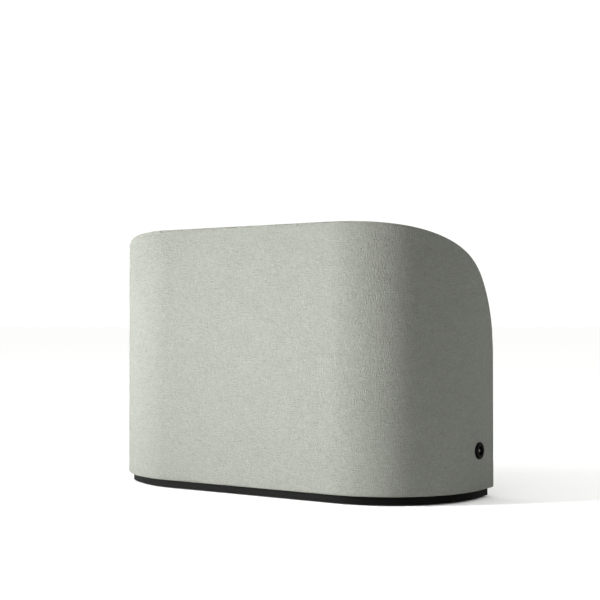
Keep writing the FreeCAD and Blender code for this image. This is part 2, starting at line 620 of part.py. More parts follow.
def make_woofer():
    """The woofer's pieces, from the gasket at the front to the yoke at the rear."""
    rim, pole = "dims.flange_t", "(dims.coil_r - dims.pole_gap)"
    plate_low = "(-dims.basket_d - dims.plate_t)"
    magnet_low = f"({plate_low} - dims.magnet_t)"
    former, disc = "(dims.coil_r + dims.former_t)", "(dims.magnet_r - 2.5)"
    keep(make_basket(), "woofer_basket")
    keep(at_woofer(tube("ring_gasket", 44.4, 46, rim, f"{rim} + 2")), "woofer_gasket")
    roll, lip = 3.6, 0.6
    keep(at_woofer(turned("surround", [
        (31.6, rim), (34.4, rim), (34.4, f"{rim} + 0.2", roll - lip, -1), (40.3, f"{rim} + 0.2"),
        (40.3, rim), (44, rim), (44, f"{rim} + {lip}"), (40.8, f"{rim} + {lip}", roll, 1),
        (33.9, f"{rim} + {lip}"), (31.6, f"{rim} + {lip}")])), "woofer_surround")
    keep(at_woofer(turned("cone", [
        (f"{former} + 0.05", -13), (32, f"{rim} - 0.6"), (34.2, f"{rim} - 0.6"), (34.2, rim),
        (31.4, rim), (f"{former} + 0.05", -12.2)])), "woofer_cone")
    keep(at_woofer(turned("cap", [
        (0, -5.9), (0.5, -5.9, 38, -1), (16.3, -9.35), (16.65, -9.15, 38, 1), (0.5, -5.3),
        (0, -5.3)])), "woofer_dust_cap")
    keep(at_woofer(tube("former", "dims.coil_r", former, "-31.6", "-11.5")), "woofer_coil_former")
    middle = "(-dims.basket_d - dims.plate_t/2)"
    keep(at_woofer(tube("winding", former, f"{former} + dims.winding_t",
                        f"{middle} - dims.winding_h/2", f"{middle} + dims.winding_h/2")),
         "woofer_voice_coil")
    keep(at_woofer(make_spider()), "woofer_spider")
    keep(at_woofer(tube("top_plate", "dims.coil_r + 1.7", disc, plate_low, "-dims.basket_d")),
         "woofer_top_plate")
    keep(at_woofer(tube("magnet", 17, "dims.magnet_r", magnet_low, plate_low)), "woofer_magnet")
    keep(at_woofer(turned("yoke", [
        (3, f"{magnet_low} - 4"), (disc, f"{magnet_low} - 4"), (disc, magnet_low),
        (pole, magnet_low), (pole, "-dims.basket_d"),
        (3, "-dims.basket_d")])), "woofer_yoke")
    # a tag board against the basket's lowest strut, with two solder tags towards the rear
    tag_board = box("tag_board", ("-8", "8"), ("-20.5", "-12.5"),
                    ("dims.woofer_z - 38.4", "dims.woofer_z - 34"))
    tags = [box(f"tag_{i}", (f"{x} - 1.4", f"{x} + 1.4"), ("-12.5", "-6.5"),
                ("dims.woofer_z - 37.8", "dims.woofer_z - 37")) for i, x in enumerate((-4, 4))]
    strut = at_woofer(turned("strut_side", [
        (0, "-dims.basket_d"), (25.7, "-dims.basket_d"), ("dims.woofer_hole_r - 0.2", 0), (0, 0)]))
    keep(joined("terminals", cut("tag_board_fitted", tag_board, strut), *tags), "woofer_terminals")
    screws("woofer_screws", 1.45, 2.4, 1.6, 7, woofer_bolt_spots("dims.flange_t"), AHEAD)


# ---------------------------------------------------------------- passive radiator

def radiator_bolt_spots(lift):
    """Six fixings round the radiator's flange; lift is rearwards from the enclosure's rear."""
    high, end = "(dims.rad_h/2 - 3.6)", "(dims.rad_l/2 - 3.6)"
    return [(x, f"dims.enc_rear_y + ({lift})", f"dims.rad_z + {z}")
            for x, z in ((f"-{end}", 0), (end, 0), ("-24", high), ("24", high),
                         ("-24", f"-{high}"), ("24", f"-{high}"))]


def at_radiator(body):
    """Local Z runs rearwards from the enclosure's rear face."""
    return put(body, 0, "dims.enc_rear_y", "dims.rad_z", BEHIND)


def track_ring(name, outer, inner, low, high):
    """A flat ring between two racetracks."""
    solid = padded(name + "_out", "XY_Plane", racetrack(*outer), f"({high}) - ({low})", lift=low)
    middle = padded(name + "_in", "XY_Plane", racetrack(*inner), 30, both=True)
    return cut(name, at_radiator(solid), at_radiator(middle))


def make_radiator():
    """The passive radiator: frame, rubber surround, plate and added mass."""
    length, height, top = "dims.rad_l", "dims.rad_h", "dims.rad_flange_t"
    frame = track_ring("rad_frame", (length, height), (f"{length} - 2*dims.rad_border",
                       f"{height} - 2*dims.rad_border"), 0, top)
    bolts = rods_at("rad_clear", 1.6, 12, radiator_bolt_spots(-2), BEHIND)
    keep(cut("rad_frame_drilled", frame, bolts), "radiator_frame")
    # a flat rubber web with a raised roll half way across
    web = track_ring("rad_web", (f"{length} - 13", f"{height} - 13"),
                     ("dims.rad_plate_l - 5", "dims.rad_plate_h - 5"), top, f"{top} + 0.6")
    roll = track_ring("rad_roll", (f"{length} - 19", f"{height} - 19"),
                      ("dims.rad_plate_l + 3", "dims.rad_plate_h + 3"), f"{top} + 0.3", f"{top} + 2.4")
    keep(joined("rad_rubber", web, roll), "radiator_surround")
    plate = padded("rad_plate", "XY_Plane", racetrack("dims.rad_plate_l", "dims.rad_plate_h"),
                   "dims.rad_plate_t", lift=f"{top} - dims.rad_plate_t")
    pocketed(plate, "XY_Plane", racetrack("dims.rad_plate_l - 16", "dims.rad_plate_h - 16"),
             top, 0.5)
    keep(at_radiator(plate), "radiator_plate")
    weight = padded("rad_weight", "XY_Plane", racetrack(46, 12), 4.5,
                    lift=f"{top} - dims.rad_plate_t - 4.5")
    keep(at_radiator(weight), "radiator_mass")
    screws("radiator_screws", 1.2, 2.2, 1.5, 5, radiator_bolt_spots("dims.rad_flange_t"), BEHIND)


# ---------------------------------------------------------------- tweeters

TURN_SIN, TURN_COS = (f"{wave}(dims.tweeter_turn * 1deg)" for wave in ("sin", "cos"))


def corner_station(sign, out, across=0):
    """A point in plan: so far out from a front corner's centre, and so far across that line."""
    return (f"{sign}*(dims.corner_cx + ({out})*{TURN_SIN} + ({across})*{TURN_COS})",
            f"dims.corner_cy - ({out})*{TURN_COS} + ({across})*{TURN_SIN}")


def corner_turn(sign):
    """Turns -Y to face straight out through a front corner."""
    return Rotation(Vector(0, 0, 1), sign * DIMS["tweeter_turn"])


def tweeter_fixings(sign, out):
    """A tweeter's four fixings, so far out from the front corner's centre."""
    return [(*corner_station(sign, out, across), f"dims.tweeter_z + {up}")
            for across in (-13, 13) for up in (-13, 13)]


def tweeter_bores(side, sign):
    """Holes at those fixings, as a tool."""
    return rods_at(f"tweeter_bores_{side}", 1.25, 8, tweeter_fixings(sign, "dims.tweeter_out - 4"),
                   corner_turn(sign).multiply(AHEAD))


def tweeter_bracket(side, sign):
    """The upright plate that a tweeter is screwed to, with a gusset on each flank."""
    half = "dims.bracket_w/2"
    plate = padded(f"bracket_{side}", "XZ_Plane",
                   block_outline(f"-{half}", half, "dims.shell_floor", "dims.bracket_top"),
                   "dims.bracket_t")
    flat = corner_turn(sign)
    pieces = [put(plate, *corner_station(sign, "dims.tweeter_out - dims.bracket_t"), 0, flat)]
    for i, across in enumerate((-22.5, 22.5)):
        gusset = padded(f"gusset_{side}_{i}", "YZ_Plane",
                        [("-1", "dims.shell_floor"), ("6", "dims.shell_floor"), ("-1", "60")],
                        3, both=True)
        back = corner_station(sign, "dims.tweeter_out - dims.bracket_t", across)
        pieces.append(put(gusset, *back, 0, flat))
    motor_hole = at_tweeter(tube(f"motor_hole_{side}", 0, "dims.cup_r + 0.5", -10, 10), sign)
    return cut(f"bracket_cut_{side}", joined(f"bracket_whole_{side}", *pieces), motor_hole,
               tweeter_bores(f"{side}_plate", sign))


def at_tweeter(body, sign):
    """Local Z runs out through the corner, with 0 on the bracket's outer face."""
    return put(body, *corner_station(sign, "dims.tweeter_out"), "dims.tweeter_z",
               corner_turn(sign).multiply(AHEAD))


def make_tweeter(side, sign):
    """One tweeter, facing out through a front corner."""
    face = turned(f"face_{side}", [
        (11.2, 0), ("dims.tweeter_r", 0), ("dims.tweeter_r", 2.2), ("dims.tweeter_r - 0.8", 3),
        (16.5, 3), (11.2, 1)])
    keep(cut(f"face_cut_{side}", at_tweeter(face, sign), tweeter_bores(f"{side}_face", sign)),
         f"tweeter_faceplate_{side}")
    dome_r = "dims.dome_r"
    keep(at_tweeter(turned(f"dome_{side}", [
        (f"{dome_r} - 0.3", -9), (dome_r, -9), (dome_r, 0.6), (10.9, 0.6), (10.9, 0.9),
        (dome_r, 0.9, 17, 1), (0.4, 4), (0, 4), (0, 3.7), (0.4, 3.7, 16.6, -1),
        (f"{dome_r} - 0.3", 0.7)]), sign),
        f"tweeter_dome_{side}")
    keep(at_tweeter(turned(f"cup_{side}", [
        (0, "-dims.cup_d"), ("dims.cup_r", "-dims.cup_d"), ("dims.cup_r", 0), (10.7, 0),
        (10.7, -14), (0, -14)]), sign), f"tweeter_cup_{side}")
    keep(at_tweeter(turned(f"slug_{side}", [
        (0, -14), (8.8, -14), (8.8, -8), (9.1, -8), (9.1, -5.5), (0, -5.5)]), sign),
        f"tweeter_magnet_{side}")


def make_tweeters():
    """Both tweeters and their screws."""
    heads = []
    for side, sign in SIDES:
        make_tweeter(side, sign)
        turn = corner_turn(sign).multiply(AHEAD)
        heads += [(*spot, turn) for spot in tweeter_fixings(sign, "dims.tweeter_out + 3")]
    screws("tweeter_screws", 1.2, 2, 1.2, 5.8, heads)


# ---------------------------------------------------------------- control strip

def strip_place(x, y, z=0):
    """A point given on the control strip's own axes, as world expressions."""
    sin, cos = "sin(dims.strip_tilt * 1deg)", "cos(dims.strip_tilt * 1deg)"
    return (x, f"dims.strip_y + ({y})*{cos} + ({z})*{sin}",
            f"dims.strip_z - ({y})*{sin} + ({z})*{cos}")


def on_strip(piece, x=0, y=0, z=0):
    """Stands a piece on the control strip's own axes."""
    return put(piece, *strip_place(x, y, z), STRIP_TURN)


def strip_block(name, x, y, z):
    """A block on the strip's own axes."""
    return on_strip(padded(name, "XY_Plane", block_outline(*x, *y), f"({z[1]}) - ({z[0]})", lift=z[0]))


def strip_disc(name, radius, x, y, low, high):
    """An upright cylinder on the strip's own axes."""
    return rod(name, radius, f"({high}) - ({low})", *strip_place(x, y, low), STRIP_TURN)


def make_controls():
    """The control strip with its keys, mute slider, light guide and the board under them."""
    top, under = "dims.strip_proud", "-dims.strip_d"
    low = "(-dims.strip_d - dims.strip_flange_t)"
    board_top = "-dims.board_down"
    keys = {"button_volume_down": "dims.key_x", "button_play": "dims.key_x + dims.key_pitch",
            "button_volume_up": "dims.key_x + 2*dims.key_pitch"}
    plug = strip_form("strip_plug", "dims.strip_l", "dims.strip_w", under, top)
    softened(plug, plug.Tip, 0.5, lambda edge, m: m.z > number(top) - 0.01)
    flange = strip_form("strip_flange", "dims.strip_l + 2*dims.strip_flange",
                        "dims.strip_w + 2*dims.strip_flange", low, under)
    pillar_spots = [(f"{s}*40", f"{t}*8.6") for s in (-1, 1) for t in (-1, 1)]
    pillars = [strip_disc(f"strip_pillar_{i}", 2, px, py, board_top, low)
               for i, (px, py) in enumerate(pillar_spots)]
    pillar_bores = [strip_disc(f"strip_bore_{i}", 0.9, px, py, "-dims.board_down - 3", f"{low} + 1")
                    for i, (px, py) in enumerate(pillar_spots)]
    wells = [strip_disc(f"key_well_{i}", "(dims.key_r + dims.key_gap)", x, "dims.key_row", -20, 5)
             for i, x in enumerate(keys.values())]
    light_hole = strip_block("light_hole", ("-9.1", "27.1"), ("-6.8", "-5.4"), (-20, 5))
    mic_holes = [strip_disc(f"mic_hole_{i}", 0.6, x, "dims.key_row", -20, 5)
                 for i, x in enumerate(("-36", "38"))]
    travel = "dims.mute_travel"
    mute_slot = strip_block("mute_slot", ("dims.mute_x - 3.2", f"dims.mute_x + 3.2 + {travel}"),
                            ("dims.key_row - 2.2", "dims.key_row + 2.2"), (-20, 5))
    keep(cut("strip", joined("strip_whole", plug, flange, *pillars),
             group("strip_cutters", *wells, *mic_holes, mute_slot, light_hole, *pillar_bores)),
         "control_strip")

    for name, x in keys.items():
        edge, crown = "dims.key_r", f"{top} + 0.2"
        keep(on_strip(turned(name + "_cap", [
            (0, f"{low} - 1.6"), (1.5, f"{low} - 1.6"), (1.5, f"{low} - 1.1"),
            (f"{edge} + 1", f"{low} - 1.1"), (f"{edge} + 1", f"{low} - 0.05"),
            (edge, f"{low} - 0.05"), (edge, f"{crown} - 0.4", 0.4, 1), (f"{edge} - 0.4", crown),
            (3, crown, 15.2, -1), (0.4, f"{crown} - 0.3"), (0, f"{crown} - 0.3")]),
            x, "dims.key_row"), name)

    knob = strip_block("mute_knob", ("dims.mute_x - 3", "dims.mute_x + 3"),
                       ("dims.key_row - 2", "dims.key_row + 2"), (f"{low} - 0.8", f"{top} + 0.8"))
    softened(knob, knob.Tip, 0.5, lambda edge, m: m.z > number(top) + 0.79)
    rider = strip_block("mute_rider", ("dims.mute_x - 5", "dims.mute_x + 5"),
                        ("dims.key_row - 3.4", "dims.key_row + 3.4"),
                        (f"{low} - 1", f"{low} - 0.1"))
    keep(joined("mute_whole", knob, rider), "mute_slider")
    keep(strip_block("light", ("-9", "27"), ("-6.7", "-5.5"), ("-dims.board_down + 1.2", f"{top} - 0.1")),
         "light_pipe")

    board = strip_form("key_board", "dims.strip_l + 6", "dims.strip_w + 7",
                       "-dims.board_down - dims.board_t", board_top)
    board_holes = [strip_disc(f"key_board_hole_{i}", 1.1, px, py, -20, 0)
                   for i, (px, py) in enumerate(pillar_spots)]
    keep(cut("key_board_cut", board, group("key_board_cutters", *board_holes)), "control_board")
    body_top = "-dims.board_down + 1.45"
    switches = []
    for i, x in enumerate(keys.values()):
        base = strip_block(f"switch_{i}", (f"{x} - 2.6", f"{x} + 2.6"),
                           ("dims.key_row - 2.6", "dims.key_row + 2.6"), (board_top, body_top))
        stub = strip_disc(f"switch_stub_{i}", 1.2, x, "dims.key_row", f"{body_top} - 0.2",
                          f"{body_top} + 0.5")
        switches.append(joined(f"switch_whole_{i}", base, stub))
    mute_base = strip_block("mute_switch", ("dims.mute_x - 4", f"dims.mute_x + 4 + {travel}"),
                            ("dims.key_row - 2.5", "dims.key_row + 2.5"),
                            (board_top, f"{board_top} + 2.9"))
    keep(group("switches", *switches, mute_base), "tact_switches")
    mics = [strip_block(f"mic_{i}", (f"{x} - 1.8", f"{x} + 1.8"),
                        ("dims.key_row - 1.4", "dims.key_row + 1.4"), (board_top, f"{board_top} + 1"))
            for i, x in enumerate(("-36", "38"))]
    keep(group("mics", *mics), "microphones")
    heads = [STRIP_TURN.multVec(Vector(number(px), number(py), -DIMS["board_down"] - DIMS["board_t"]))
             + Vector(0, DIMS["strip_y"], DIMS["strip_z"]) for px, py in pillar_spots]
    screws("strip_screws", 0.85, 1.7, 0.9, 4, [tuple(h) for h in heads],
           STRIP_TURN.multiply(Rotation(Vector(1, 0, 0), 180)))


# ---------------------------------------------------------------- power inlet and boards

def at_jack(body):
    """Local Z runs out of the inlet to the right, with 0 just outside its bezel."""
    return put(body, "dims.jack_mouth", "dims.jack_y", "dims.jack_z", RIGHT)


def make_inlet():
    """The barrel power socket: bezel in the wall, socket on the board, contact pin."""
    bore, throat = "dims.jack_bore_r", "-dims.jack_throat"
    bezel = turned("bezel", [
        (4.25, -8), (8, -8), (8, -6), ("dims.jack_r", -6), ("dims.jack_r", "-0.85"),
        ("dims.jack_r - 0.2", "-0.55"), ("dims.jack_r - 0.6", "-0.4"), (f"{bore} + 0.35", "-0.4"),
        (bore, "-0.75"), (bore, throat), (4.25, throat)])
    keep(at_jack(bezel), "jack_bezel")
    barrel = at_jack(tube("socket_barrel", 0, 4.2, -9, f"{throat} - 0.05"))
    back = "dims.jack_mouth - 21"
    case = box("socket_case", (back, "dims.jack_mouth - 8.05"), ("dims.jack_y - 4.5", "dims.jack_y + 4.5"),
               ("dims.power_board_z + dims.pcb_t", "dims.jack_z + 5.2"))
    hollow = at_jack(tube("socket_bore", 0, "dims.jack_bore_r", -12.6, 0))
    pin_hole = at_jack(tube("socket_pin_hole", 0, "dims.jack_pin_r - 0.2", -16, 0))
    keep(cut("socket", joined("socket_whole", barrel, case), hollow, pin_hole), "jack_socket")
    pin = "dims.jack_pin_r"
    keep(at_jack(turned("contact", [
        (0, -16), (f"{pin} - 0.2", -16), (f"{pin} - 0.2", -12.6), (pin, -12.6),
        (pin, "-dims.jack_pin_back - 0.5"), (f"{pin} - 0.5", "-dims.jack_pin_back"),
        (0, "-dims.jack_pin_back")])), "jack_pin")


def power_board_spots():
    """The fixings of the flat board, in plan."""
    return [(x, y) for x in ("(dims.bay_in + 3.5)", "(dims.bay_out - 8.5)") for y in ("12.8", "27.8")]


def rear_board_spots():
    """The fixings of the two upright boards, on their front faces."""
    return [(f"{sign}*{x}", "dims.rear_board_y", z) for sign in (-1, 1)
            for x in ("(dims.bay_in + 4)", "(dims.bay_out - 4)")
            for z in ("dims.rear_board_low + 5", "dims.rear_board_high - 5")]


def populated(name, board, holes, parts):
    """A board drilled at its holes, with its parts soldered on.

    A part is its centre and its size.
    """
    drilled = cut(f"{name}_drilled", board, holes)
    blocks = []
    for i, (centre, spans) in enumerate(parts):
        reach = [(f"{c} - {s}/2", f"{c} + {s}/2") for c, s in zip(centre, spans)]
        blocks.append(box(f"{name}_{i}", *reach))
    return joined(f"{name}_whole", drilled, *blocks)


def make_boards():
    """The flat power board, the two upright boards and what stands on them."""
    inner, outer = "dims.bay_in", "dims.bay_out"
    front, back = "dims.rear_board_y", "(dims.rear_board_y + dims.pcb_t)"
    low, high = "dims.power_board_z", "(dims.power_board_z + dims.pcb_t)"
    flat = box("power_pcb", (inner, "119"), ("10", "31"), (low, high))
    flat_holes = rods_at("power_holes", 1.05, 8, [(x, y, f"{low} - 2") for x, y in power_board_spots()])
    keep(populated("power", flat, flat_holes, [
        (("83", "20.5", f"({high} + 3)"), (6, 6, 6)), (("93", "20.5", f"({high} + 4)"), (10, 10, 8)),
        (("103", "23.5", f"({high} + 2)"), (5, 8, 4)), (("103", "15", f"({high} + 1)"), (4, 4, 2))]),
        "power_board")
    upright = ("dims.rear_board_low", "dims.rear_board_high")
    rear_holes = rods_at("rear_holes", 1.05, 8, [(x, f"{y} - 2", z) for x, y, z in rear_board_spots()],
                         BEHIND)
    main = box("main_pcb", (f"-{outer}", f"-{inner}"), (front, back), upright)
    keep(populated("main", main, rear_holes, [
        (("-102", f"({front} - 0.9)", "36"), (12, 1.8, 12)), (("-99", f"({front} - 2)", "75"), (14, 4, 6)),
        (("-89", f"({front} - 0.6)", "52"), (7, 1.2, 7)), (("-84", f"({front} - 2)", "42"), (6, 4, 6))]),
        "main_board")
    radio = [("-104", f"({front} - 1.2)", "57"), (18, 2.4, 14)]
    reach = [(f"{c} - {s}/2", f"{c} + {s}/2") for c, s in zip(*radio)]
    keep(box("radio_can", *reach), "wifi_module")
    amp = box("amp_pcb", (inner, outer), (front, back), upright)
    keep(populated("amp", amp, rear_holes, [
        (("99", f"({front} - 1)", "55"), (10, 2, 10)), (("83.5", f"({front} - 2.5)", "61"), (6, 5, 14)),
        (("114.5", f"({front} - 2.5)", "45"), (6, 5, 6))]), "amplifier_board")
    base = box("sink_base", ("88", "110"), (f"{front} - 4.5", f"{front} - 2"), ("43", "67"))
    fins = [box(f"sink_fin_{k}", (f"88 + {k}*3.45", f"88 + {k}*3.45 + 1.3"),
                (f"{front} - 11", f"{front} - 4.4"), ("43", "67")) for k in range(7)]
    keep(joined("sink", base, *fins), "heat_sink")
    ahead = [(*spot, AHEAD) for spot in rear_board_spots()]
    down = [(x, y, high, Rotation()) for x, y in power_board_spots()]
    screws("board_screws", 1, 2, 1.2, 4.4, ahead + down)


# ---------------------------------------------------------------- leads

def make_leads():
    """The leads between boards, drivers and keys."""
    tail = "dims.rear_board_y - 4"
    start = strip_place(-45, 0, -10)
    wire_run("control_lead", [start, (-72, *start[1:]), (-84, 16, 122), (-84, 18, 92),
                              (-99, 18, 75), (-99, tail, 75)])
    wire_run("power_lead", [(80, 20.5, 27), (74, 20.5, 27), (74, 36.4, DUCT_Z), (-77, 36.4, DUCT_Z),
                            (-77, 24, 28), (-84, 18, 42), (-84, tail, 42)])
    amp = "dims.rear_board_y - 5"
    cup_x, cup_y = corner_station(1, "dims.tweeter_out - dims.cup_d")
    in_x, in_y = corner_station(1, "dims.tweeter_out - dims.cup_d - 9")
    to_left_tweeter = [
        ("-" + cup_x, cup_y, "dims.tweeter_z"), ("-" + in_x, in_y, "dims.tweeter_z"), (-74.2, 12, 50),
        (-74.2, 32, DUCT_Z), (77, 32, DUCT_Z), (77, 18, 40), (83.5, 12, 56.5), (83.5, amp, 56.5)]
    to_woofer = [
        (4, -6, "dims.woofer_z - 37.4"), (4, 4, 53), (30, -2, 50), (50, -7, 50), (80, -7, 50),
        (83.5, 4, 61), (83.5, amp, 61)]
    to_right_tweeter = [
        (cup_x, cup_y, "dims.tweeter_z"), (in_x, in_y, "dims.tweeter_z"), (80.5, 12, 74),
        (83.5, 16, 65.5), (83.5, amp, 65.5)]
    wire_run("speaker_leads", to_left_tweeter, to_woofer, to_right_tweeter)


# ---------------------------------------------------------------- build and write

def check():
    """Stops on any failed object, and on any sub-part that is not a sound solid."""
    for piece in doc.Objects:
        if any(word in piece.State for word in ("Invalid", "Error")):
            raise SystemExit(f"{piece.Label} failed: {piece.State}")
    for piece in nodes:
        shape = piece.Shape
        if shape.isNull() or not shape.isValid() or not shape.Solids or shape.Volume <= 0:
            raise SystemExit(f"{piece.Label} is not a sound solid")


def write():
    """One STEP file for each sub-part."""
    os.makedirs("parts", exist_ok=True)
    for piece in nodes:
        piece.Shape.exportStep(f"parts/{piece.Label}.step")
    print(len(nodes), "sub-parts written")


make_cover_and_shell()
make_base()
make_enclosure()
make_woofer()
make_radiator()
make_tweeters()
make_controls()
make_inlet()
make_boards()
make_leads()
doc.recompute()
check()
write()
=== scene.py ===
"""Looks for the smart speaker: the woven cover, a material for every piece, studio light, camera."""
import json
import math

import bmesh
import bpy
from mathutils import Matrix, Vector, noise


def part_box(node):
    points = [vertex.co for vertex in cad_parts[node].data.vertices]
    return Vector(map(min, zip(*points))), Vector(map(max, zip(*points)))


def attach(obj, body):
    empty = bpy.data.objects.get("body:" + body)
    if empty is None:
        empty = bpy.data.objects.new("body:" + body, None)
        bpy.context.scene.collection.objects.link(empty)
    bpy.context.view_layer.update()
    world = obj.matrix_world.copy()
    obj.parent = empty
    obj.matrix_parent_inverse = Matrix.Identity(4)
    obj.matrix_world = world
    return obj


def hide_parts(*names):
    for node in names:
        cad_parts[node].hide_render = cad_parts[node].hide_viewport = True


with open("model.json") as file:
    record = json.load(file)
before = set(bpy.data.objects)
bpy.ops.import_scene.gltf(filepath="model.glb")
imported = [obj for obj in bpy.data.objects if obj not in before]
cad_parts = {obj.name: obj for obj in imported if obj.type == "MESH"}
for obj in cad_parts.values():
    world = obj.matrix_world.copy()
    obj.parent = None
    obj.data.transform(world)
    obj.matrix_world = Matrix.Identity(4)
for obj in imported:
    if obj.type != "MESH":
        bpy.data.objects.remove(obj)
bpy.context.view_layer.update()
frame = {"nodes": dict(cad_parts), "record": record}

MM = 0.001

# ---------------------------------------------------------------- the outer form
COVER_LOW, COVER_HIGH = (Vector(corner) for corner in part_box("fabric_cover"))
HALF_WIDTH = COVER_HIGH.x
HALF_DEPTH = COVER_HIGH.y
HEM_Z = COVER_LOW.z
HEIGHT = 165 * MM           # of the front edge before its rim is rounded
CORNER_R = 67 * MM          # of the plan's two front corners
RIM_R = 2.4 * MM            # where the wall turns into the top
HEM_R = 1.0 * MM            # where the cloth folds in under the shell
HEM_WIDTH = 4.7 * MM        # of the cloth folded in
TOP_ARC = 136 * MM          # radius of the top's profile
ROLL_ARC = 69.5 * MM        # radius where it rolls down into the rear wall
TOP_SLOPE = math.radians(7)  # of the top at its front edge
CORNER_X = HALF_WIDTH - CORNER_R
CORNER_Y = CORNER_R - HALF_DEPTH
TOP_CY = -HALF_DEPTH - TOP_ARC * math.sin(TOP_SLOPE)
TOP_CZ = HEIGHT - TOP_ARC * math.cos(TOP_SLOPE)
ROLL_CY = HALF_DEPTH - ROLL_ARC
MEET_SIN = (ROLL_CY - TOP_CY) / (TOP_ARC - ROLL_ARC)
ROLL_CZ = TOP_CZ + (TOP_ARC - ROLL_ARC) * math.sqrt(1 - MEET_SIN ** 2)

STEP = 1.25 * MM            # spacing of the cover's mesh
RIM_STEPS = 6
SAME_POINT = 0.05 * MM      # mesh points nearer than this are joined
HEM_SLACK = 0.1 * MM        # an open edge this near the lowest row belongs to the hem


def top_at(y, inset):
    """The top set in by inset, where it crosses y: its height and its normal's y and z."""
    wide, tight = TOP_ARC - inset, ROLL_ARC - inset
    if y < TOP_CY + wide * MEET_SIN:
        sine, radius, centre_z = (y - TOP_CY) / wide, wide, TOP_CZ
    else:
        sine, radius, centre_z = min((y - ROLL_CY) / tight, 1), tight, ROLL_CZ
    cosine = math.sqrt(1 - sine ** 2)
    return centre_z + radius * cosine, sine, cosine


def along_top(y):
    """Length of cloth over the top from the front edge to y."""
    meet = math.asin(MEET_SIN)
    sine = (y - TOP_CY) / TOP_ARC
    if sine < MEET_SIN:
        return TOP_ARC * (math.asin(sine) - TOP_SLOPE)
    rolled = math.asin(min((y - ROLL_CY) / ROLL_ARC, 1))
    return TOP_ARC * (meet - TOP_SLOPE) + ROLL_ARC * (rolled - meet)


def half_outline():
    """The plan's right half from the middle of the front: (point, normal, distance) until the rim of
    the rear corner starts, and the index where the front corner starts."""
    points = []
    front_steps = round(CORNER_X / STEP)
    for i in range(front_steps):
        x = CORNER_X * i / front_steps
        points.append((Vector((x, -HALF_DEPTH, 0)), Vector((0, -1, 0)), x))
    turn_steps = round(CORNER_R * math.pi / 2 / STEP)
    for i in range(turn_steps):
        angle = math.pi / 2 * i / turn_steps
        normal = Vector((math.sin(angle), -math.cos(angle), 0))
        centre = Vector((CORNER_X, CORNER_Y, 0))
        points.append((centre + normal * CORNER_R, normal, CORNER_X + CORNER_R * angle))
    side = HALF_DEPTH - RIM_R - CORNER_Y
    side_steps = round(side / STEP)
    for i in range(side_steps + 1):
        along = side * i / side_steps
        points.append((Vector((HALF_WIDTH, CORNER_Y + along, 0)), Vector((1, 0, 0)),
                       CORNER_X + CORNER_R * math.pi / 2 + along))
    return points, front_steps


def mirrored(row):
    """Points of the right half, on the left."""
    flip = Vector((-1, 1, 1))
    return [(p * flip, n * flip, -s) for p, n, s in row]


def add_patch(mesh, weave, rows):
    """A grid of quads from rows of (point, uv)."""
    made = [[mesh.verts.new(point) for point, uv in row] for row in rows]
    for r in range(len(rows) - 1):
        for c in range(len(rows[0]) - 1):
            spots = [(r, c), (r, c + 1), (r + 1, c + 1), (r + 1, c)]
            face = mesh.faces.new([made[i][j] for i, j in spots])
            for loop, (i, j) in zip(face.loops, spots):
                loop[weave].uv = rows[i][j][1]


def cover_shell(mesh, weave):
    """The cloth's outer surface, in three patches: wall, rim, and the top with the rear wall."""
    half, corner_at = half_outline()
    low = HEM_Z + HEM_R
    levels = round((HEIGHT - low) / STEP)
    around = mirrored(half[:0:-1]) + half

    def rim_centre(point, normal):
        centre = point - normal * RIM_R
        centre.z = top_at(centre.y, RIM_R)[0]
        return centre

    def level(top, k):
        return low + (top - low) * k / levels

    tops = [rim_centre(point, normal).z for point, normal, s in around]
    wall = [[(Vector((point.x, point.y, level(top, k))), (s, level(top, k)))
             for (point, normal, s), top in zip(around, tops)] for k in range(levels + 1)]
    add_patch(mesh, weave, wall)

    # stations of the rim: up one rear corner, round the outline, down the other rear corner
    end_point, end_normal, end_s = half[-1]
    corner = rim_centre(end_point, end_normal)
    rise = [(Vector((corner.x, corner.y, level(corner.z, k))), end_normal, end_s)
            for k in range(levels)]
    stations = mirrored(rise) + [(rim_centre(p, n), n, s) for p, n, s in around] + rise[::-1]
    rim, edge = [], []
    for centre, normal, s in stations:
        height, sine, cosine = top_at(centre.y, RIM_R)
        over = Vector((0, sine, cosine))
        sweep = normal.angle(over)
        row = []
        for a in range(RIM_STEPS + 1):
            turn = sweep * a / RIM_STEPS
            way = (normal * math.sin(sweep - turn) + over * math.sin(turn)) / math.sin(sweep)
            row.append((centre + way * RIM_R, (s, centre.z + turn * RIM_R)))
        rim.append(row)
        edge.append(centre + over * RIM_R)
    add_patch(mesh, weave, rim)

    # rows across the top, then down the rear, between matching stations of the two halves
    middle = len(stations) // 2
    across = 2 * corner_at
    top = []
    for i in range(middle + corner_at, len(stations)):
        right = edge[i]
        below = max(corner.z - right.z, 0) if i > middle + len(half) - 1 else 0
        run = HEIGHT + along_top(right.y) + below
        top.append([(Vector((right.x * (2 * m / across - 1), right.y, right.z)),
                     (right.x * (2 * m / across - 1), run)) for m in range(across + 1)])
    add_patch(mesh, weave, top)
    bmesh.ops.remove_doubles(mesh, verts=mesh.verts, dist=SAME_POINT)
    bmesh.ops.recalc_face_normals(mesh, faces=mesh.faces)


